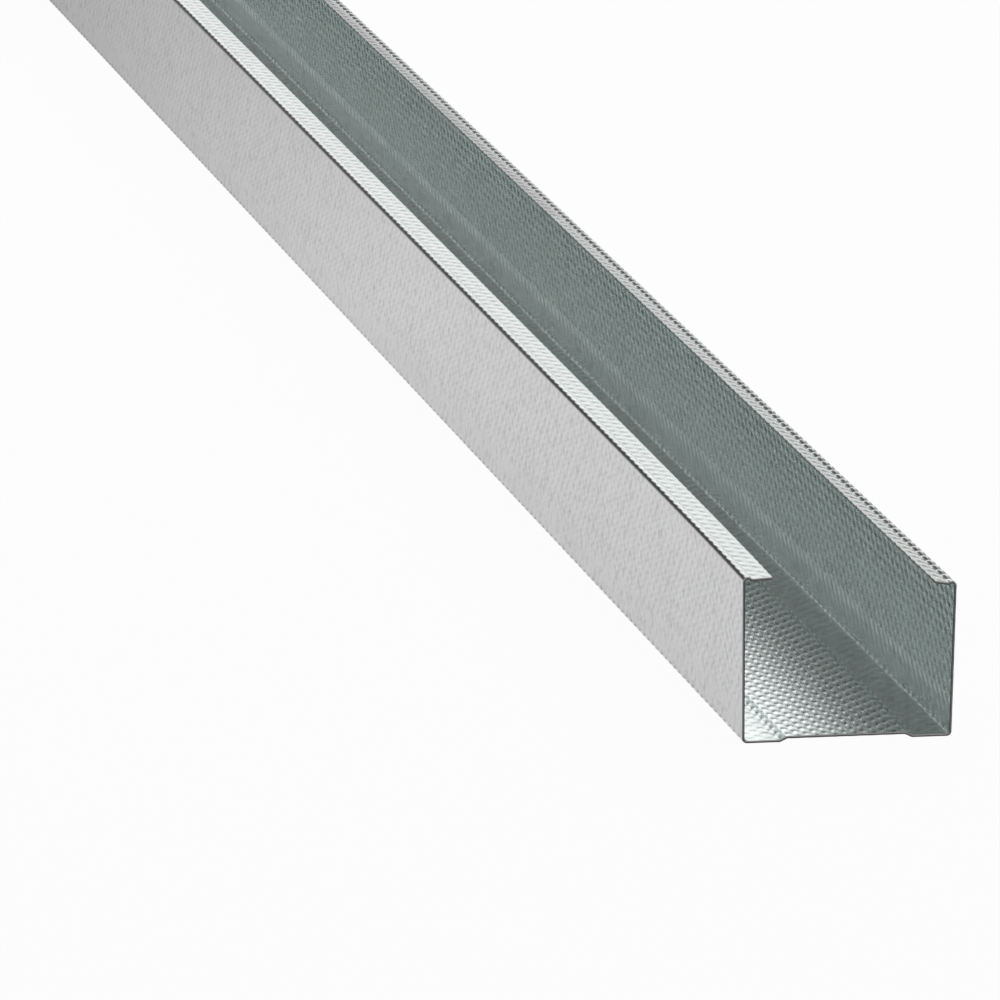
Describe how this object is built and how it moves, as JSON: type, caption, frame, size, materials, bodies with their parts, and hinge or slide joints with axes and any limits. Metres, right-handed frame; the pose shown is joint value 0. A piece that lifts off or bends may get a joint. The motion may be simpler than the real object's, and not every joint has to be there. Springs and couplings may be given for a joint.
{
  "type": "drywall metal stud",
  "caption": "Roll-formed lipped channel of embossed galvanised steel sheet, with one flange taller than the other and a raised strip along its web.",
  "frame": {"origin": "centre of the web's back, midway between the two cut ends, on the surface that the stud lies on", "axes": "+Y along the stud, +Z out of the web towards the open side, +X from the tall flange towards the short flange"},
  "size_m": [0.0466, 2.4, 0.0369],
  "materials": {
    "galvanised_sheet": "hot-dip galvanised, embossed with small dimples, semi-matt"
  },
  "bodies": {
    "root": {"stud": "galvanised_sheet"}
  },
  "joints": []
}
